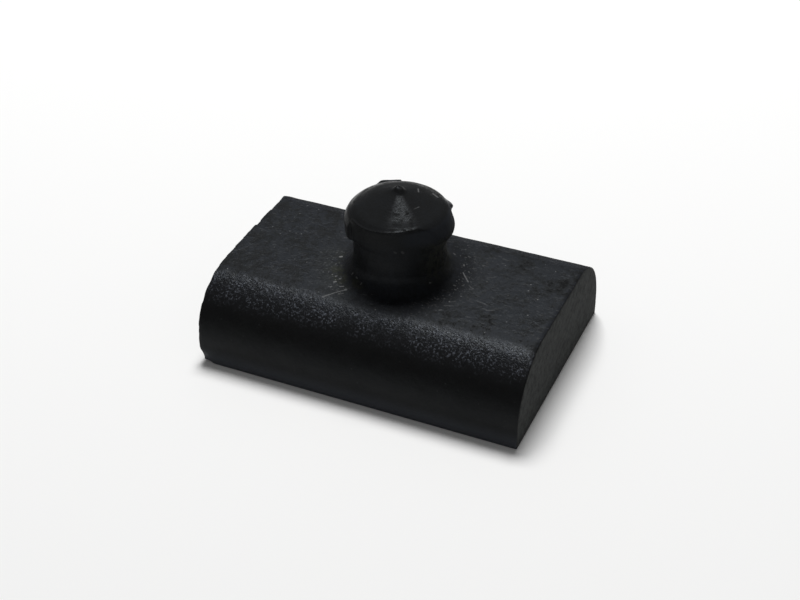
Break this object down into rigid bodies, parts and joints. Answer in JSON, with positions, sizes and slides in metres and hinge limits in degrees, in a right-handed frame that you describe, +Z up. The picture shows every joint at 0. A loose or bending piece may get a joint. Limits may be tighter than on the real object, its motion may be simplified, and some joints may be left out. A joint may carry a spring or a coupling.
{
  "type": "rubber seat bumper",
  "caption": "Push-in rubber seat bumper: a crowned rectangular pad with broad rounded shoulders and a short stem whose barbed, coned head snaps through a drilled hole.",
  "frame": {"origin": "middle of the flat foot, at the bottom of the bounding box, in millimetres in the source and metres in the row", "axes": "+X along the block's length, +Y across its width away from the picture's camera side, +Z up through the stem and head"},
  "size_m": [0.038, 0.0258, 0.0203],
  "materials": {
    "black_rubber": "worn black moulded rubber, dull with a broken sheen along the shoulders"
  },
  "bodies": {
    "root": {"seat_bumper": "black_rubber"}
  },
  "joints": []
}
